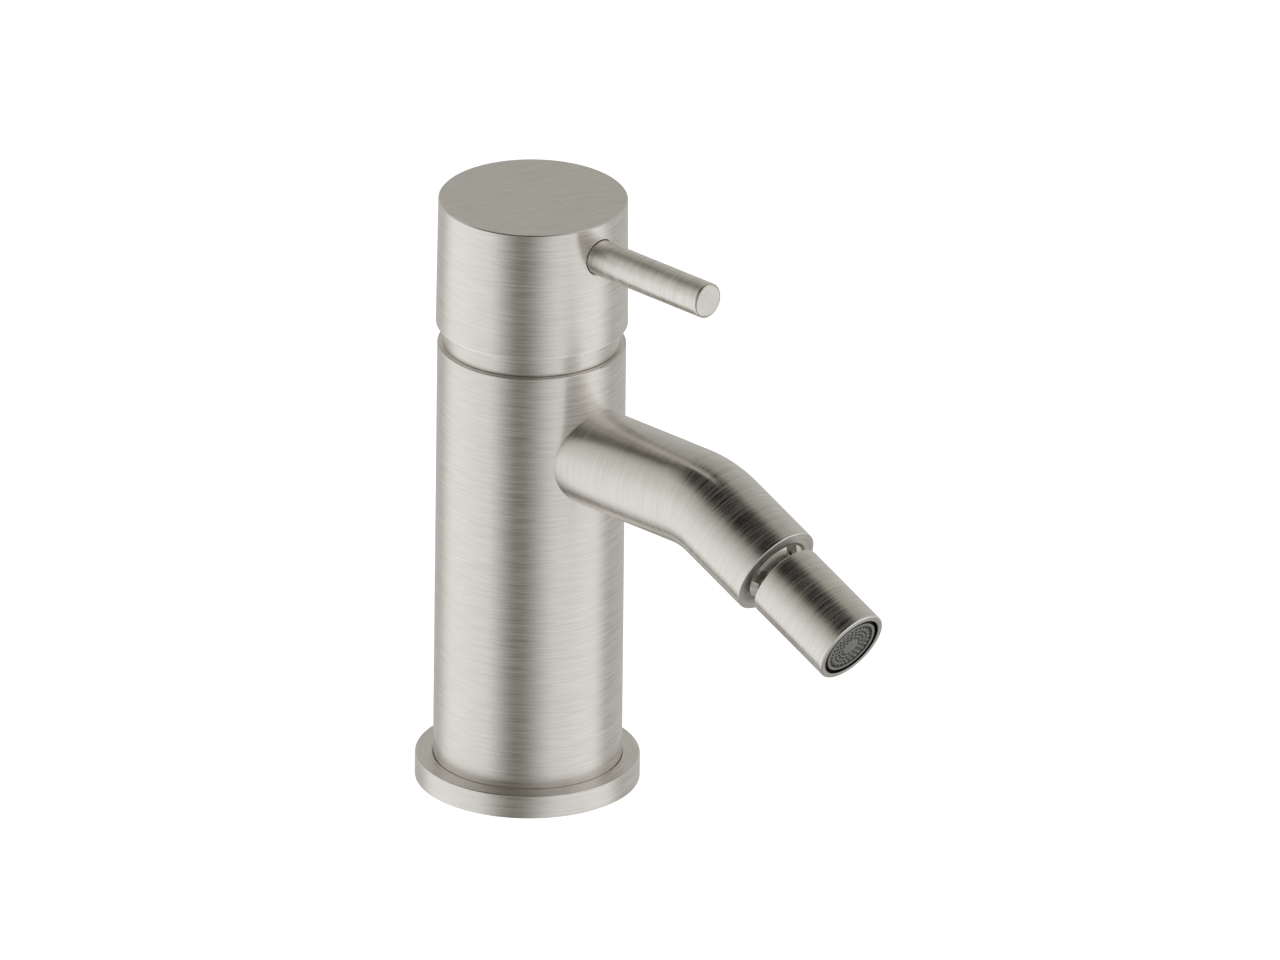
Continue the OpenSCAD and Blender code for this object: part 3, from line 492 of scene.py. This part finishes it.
def brushedNickel(name, settings):
    look = {**nickel, **settings}
    material, tree, shader, place = startMaterial(name)
    if "bend" in look:
        origin = (0.0, 0.0, look["bend"]["height"])
        local, axis = bentFrame(tree, place, look["bend"])
    else:
        origin, axis = look["origin"], axisOf(look["tilt"])
        local = straightFrame(tree, place, origin, look["tilt"])
    onEnd = flatEnd(tree, axis, look["endFacing"])
    grain = placeGroup(tree, brushedGrain, Local=local, Around=look["around"], Spacing=look["spacing"])
    streak, fine = grain["Streak"], grain["Fine"]
    if "endTurn" in look:
        turned = math.radians(look["endTurn"])
        endDirection = (math.cos(turned), math.sin(turned), 0.0)
        lines = straightLines(tree, place, look["endTurn"], look["spacing"])
        streak = addMix(tree, onEnd, streak, lines["Streak"], "FLOAT")
        fine = addMix(tree, onEnd, fine, lines["Fine"], "FLOAT")
    else:
        endDirection = outwardFrom(tree, place, origin, axis)
    # The highlight is drawn out along the axis on round faces, and square to the scratches on flat ends
    tangent = toWorld(tree, addMix(tree, onEnd, axis, endDirection))

    mixed = addMix(tree, 0.5, streak, fine, "FLOAT")
    scratch = addRange(tree, mixed, *look["contrast"], curve="LINEAR")
    depth = addRange(tree, onEnd, 0.0, 1.0, 1.0, look["endDepth"], "LINEAR")
    scratch = addMath(tree, "MULTIPLY", scratch, depth)
    metallic = addRange(tree, scratch, 0.0, 1.0, 1.0, 1.0 - look["scatter"], "LINEAR")
    brighter = addRange(tree, scratch, 0.0, 1.0, 1.0, 1.0 + look["glint"], "LINEAR")
    colour = addVector(tree, "SCALE", look["colour"], scale=brighter)
    sway = look["cloudRoughness"]
    cloud = addRange(tree, grain["Cloud"], *look["cloudContrast"], -sway, sway, "LINEAR")
    roughness = addMath(tree, "MULTIPLY_ADD", scratch, look["scratch"], look["roughness"])
    roughness = addMath(tree, "ADD", roughness, cloud)
    roughness = addMath(tree, "MULTIPLY_ADD", onEnd, look["endRoughness"], roughness)
    # Each rim mixes in a brighter colour, partly wear and partly a painted highlight
    for rimHeight, rimRadius, rimWidth in look["rims"]:
        rim = placeGroup(tree, wornEdgeHighlight, Local=local, Height=rimHeight, Radius=rimRadius, Width=rimWidth)
        wornAndHighlight = addMath(tree, "MULTIPLY", rim["Mask"], look["rimStrength"])
        colour = addMix(tree, wornAndHighlight, colour, look["rimWearAndHighlightColour"])
        roughness = addMix(tree, rim["Mask"], roughness, look["rimRoughness"], "FLOAT")
    # Inside the bore the nickel is painted nearly black: painted shade in the nozzle's mouth
    if "bore" in look:
        outside = placeGroup(tree, recess, Local=local, Radius=look["bore"])["Outside"]
        colour = addMix(tree, addMath(tree, "SUBTRACT", 1.0, outside), colour, look["boreShadeColour"])

    normal = tree.nodes.new("ShaderNodeNewGeometry").outputs["Normal"]
    groove = addVector(tree, "NORMALIZE", addVector(tree, "CROSS_PRODUCT", normal, tangent))
    wander = addMath(tree, "MULTIPLY", grain["Wander"], look["wander"])
    leaned = addVector(tree, "ADD", normal, addVector(tree, "SCALE", groove, scale=wander))
    bump = addBump(tree, look["bump"], look["bumpDepth"], streak)
    feed(tree, bump.inputs["Normal"], addVector(tree, "NORMALIZE", leaned))
    feed(tree, shader.inputs["Base Color"], colour)
    feed(tree, shader.inputs["Roughness"], roughness)
    feed(tree, shader.inputs["Metallic"], metallic)
    feed(tree, shader.inputs["Normal"], bump.outputs[0])
    feed(tree, shader.inputs["Tangent"], tangent)
    shader.inputs["Anisotropic"].default_value = look["anisotropy"]
    return material


def dress(material, *names):
    for name in names:
        mesh = parts[name].data
        mesh.materials.clear()
        mesh.materials.append(material)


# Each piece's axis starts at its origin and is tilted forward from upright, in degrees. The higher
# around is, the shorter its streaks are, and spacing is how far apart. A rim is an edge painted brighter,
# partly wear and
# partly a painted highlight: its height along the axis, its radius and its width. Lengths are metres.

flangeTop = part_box("flange")[1]
capLow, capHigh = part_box("handle_cap")
leverLow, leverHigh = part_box("lever_pin")

column = {
    "origin": (0.0, 0.0, 0.0),
    "tilt": 0.0,
    "around": 2.2,
    "spacing": 0.00036,
    "rims": ((flangeTop.z, flangeTop.x, 0.0003),),
}
cap = {
    # A little lighter than the column's nickel: painted light that brightens the cap
    "colour": (0.692, 0.667, 0.622),
    "origin": (0.0, 0.0, 0.0),
    "tilt": 0.0,
    "around": 2.2,
    "spacing": 0.00036,
    "rims": ((capLow.z, capHigh.x, 0.0003),),
    "endTurn": 70.0,            # degrees from x to the line that the top's scratches are square to
    "endDepth": 1.1,
    "endRoughness": 0.02,
}
lever = {
    "origin": (0.0, 0.0, (leverLow.z + leverHigh.z) / 2),
    "tilt": 90.0,
    "around": 0.7,
    "spacing": 0.0005,
    "rims": ((-leverLow.y, leverHigh.x, 0.0003),),
    "scatter": 0.24,
    "glint": 0.3,
    "roughness": 0.2,
    "endDepth": 0.3,
}
spoutTube = {
    "bend": {"start": 0.053579, "height": 0.0892, "radius": 0.024, "lean": 25.0},
    "around": 0.8,
    "spacing": 0.00036,
    "rims": ((0.03027, 0.0117, 0.0004),),
    "wander": 0.02,
    "roughness": 0.205,
    "endRoughness": 0.12,
}
bend = spoutTube["bend"]
bendAngle = math.radians(bend["lean"])
bendEnd = (
    0.0,
    -bend["start"] - bend["radius"] * math.sin(bendAngle),
    bend["height"] - bend["radius"] * (1.0 - math.cos(bendAngle)),
)
nozzle = {
    "origin": bendEnd,
    "tilt": 90.0 + bend["lean"],
    "around": 0.8,
    "spacing": 0.0004,
    "rims": ((0.04768, 0.0095, 0.0004), (0.02314, 0.0095, 0.0004)),
    "bore": 0.00823,
    # Painted shade: the bore's wall is painted nearly black
    "boreShadeColour": (0.03, 0.03, 0.027),
    "wander": 0.014,
    "endRoughness": 0.1,
}

dress(brushedNickel("nickelColumn", column), "body", "collar", "flange")
dress(brushedNickel("nickelCap", cap), "handle_cap")
dress(brushedNickel("nickelLever", lever), "lever_pin")
dress(brushedNickel("nickelSpout", spoutTube), "spout")
dress(brushedNickel("nickelNozzle", nozzle), "nozzle_barrel")
print("brushed nickel done")


# Polished, plastic, rubber and hidden parts

plain = {
    "contrast": (0.3, 0.7),     # the noise values that are darkest or smoothest, and the opposite
    "bumpDepth": 0.00003,
    "metallic": 0.0,
}
finishes = {
    "polishedNickel": {
        "dark": (0.90, 0.86, 0.77), "light": (0.97, 0.94, 0.86), "roughness": (0.2, 0.28), "metallic": 0.7,
        "cloudScale": 400.0, "textureScale": 3000.0, "bump": 0.03,
        "wearers": ("retaining_ring", "ball_stem"),
    },
    "turnedBrass": {
        "dark": (0.62, 0.42, 0.17), "light": (0.78, 0.56, 0.26), "roughness": (0.25, 0.4), "metallic": 1.0,
        "cloudScale": 200.0, "textureScale": 2500.0, "bump": 0.2,
        "wearers": ("base_insert", "cartridge_nut"),
    },
    "plainSteel": {
        "dark": (0.42, 0.42, 0.42), "light": (0.56, 0.56, 0.55), "roughness": (0.25, 0.4), "metallic": 1.0,
        "cloudScale": 300.0, "textureScale": 2500.0, "bump": 0.15,
        "wearers": ("pivot_pin", "stem", "grub_screw"),
    },
    "rimPlastic": {
        "dark": (0.24, 0.245, 0.23), "light": (0.29, 0.295, 0.28), "roughness": (0.3, 0.45),
        "cloudScale": 500.0, "textureScale": 4000.0, "bump": 0.15,
        "recess": {"Height": 0.04755, "Depth": 0.0006, "Radius": 0.0073, "Edge": 0.00006},
        # The recess colour is painted shade in the gap and deep in the nozzle
        "recessShadeColour": (0.015, 0.015, 0.014),
        "wearers": ("aerator_housing",),
    },
    "grillePlastic": {
        "dark": (0.20, 0.205, 0.19), "light": (0.26, 0.265, 0.25), "roughness": (0.35, 0.5),
        "cloudScale": 500.0, "textureScale": 4000.0, "bump": 0.2,
        "recess": {"Height": 0.0474, "Depth": 0.0005, "Radius": 0.0075, "Edge": 0.0001},
        # The recess colour is painted shade deep in the nozzle
        "recessShadeColour": (0.03, 0.03, 0.028),
        "wearers": ("aerator_grille",),
    },
    "greyPlastic": {
        "dark": (0.20, 0.205, 0.19), "light": (0.26, 0.265, 0.25), "roughness": (0.35, 0.5),
        "cloudScale": 500.0, "textureScale": 4000.0, "bump": 0.2,
        "wearers": ("cartridge_base",),
    },
    "darkPlastic": {
        "dark": (0.02, 0.02, 0.02), "light": (0.035, 0.035, 0.034), "roughness": (0.4, 0.55),
        "cloudScale": 500.0, "textureScale": 4000.0, "bump": 0.2,
        "wearers": ("aerator_insert", "carrier", "cartridge_housing", "slider"),
    },
    "whiteSeal": {
        "dark": (0.72, 0.71, 0.68), "light": (0.82, 0.81, 0.78), "roughness": (0.35, 0.5),
        "cloudScale": 400.0, "textureScale": 3000.0, "bump": 0.15,
        "wearers": ("front_ball_seal", "rear_ball_seat"),
    },
    "blackRubber": {
        "dark": (0.012, 0.012, 0.012), "light": (0.028, 0.027, 0.026), "roughness": (0.6, 0.8),
        "cloudScale": 400.0, "textureScale": 2500.0, "bump": 0.4,
        "wearers": (
            "flange_gasket", "base_oring", "collar_oring", "port_seals", "stem_oring", "aerator_seal",
        ),
    },
    "whiteCeramic": {
        "dark": (0.78, 0.77, 0.74), "light": (0.86, 0.85, 0.83), "roughness": (0.12, 0.2),
        "cloudScale": 300.0, "textureScale": 3500.0, "bump": 0.05,
        "wearers": ("fixed_disc", "moving_disc"),
    },
}


def plainFinish(name, settings):
    # Cloudy tone, fine surface texture and its own gloss, with painted shade (a near-black colour) in a
    # recess of the nozzle where one is given
    look = {**plain, **settings}
    material, tree, shader, place = startMaterial(name)
    cloud = addNoise(tree, place, 3.0, look["cloudScale"], 0.55)
    texture = addNoise(tree, place, 3.0, look["textureScale"], 0.6)
    colour = addMix(tree, addRange(tree, cloud, *look["contrast"]), look["dark"], look["light"])
    # Deep in the recess and out in its gap the plastic is painted near black: painted shade
    if "recess" in look:
        local = straightFrame(tree, place, nozzle["origin"], nozzle["tilt"])
        masks = placeGroup(tree, recess, Local=local, **look["recess"])
        paintedShadeMask = addMath(tree, "MAXIMUM", masks["Deep"], masks["Outside"])
        colour = addMix(tree, paintedShadeMask, colour, look["recessShadeColour"])
    mixed = addMix(tree, 0.5, cloud, texture, "FLOAT")
    roughness = addRange(tree, mixed, *look["contrast"], *look["roughness"], "LINEAR")
    bump = addBump(tree, look["bump"], look["bumpDepth"], texture)
    feed(tree, shader.inputs["Base Color"], colour)
    feed(tree, shader.inputs["Roughness"], roughness)
    feed(tree, shader.inputs["Normal"], bump.outputs[0])
    shader.inputs["Metallic"].default_value = look["metallic"]
    return material


for finishName, finish in finishes.items():
    dress(plainFinish(finishName, finish), *finish["wearers"])
print("other finishes done")
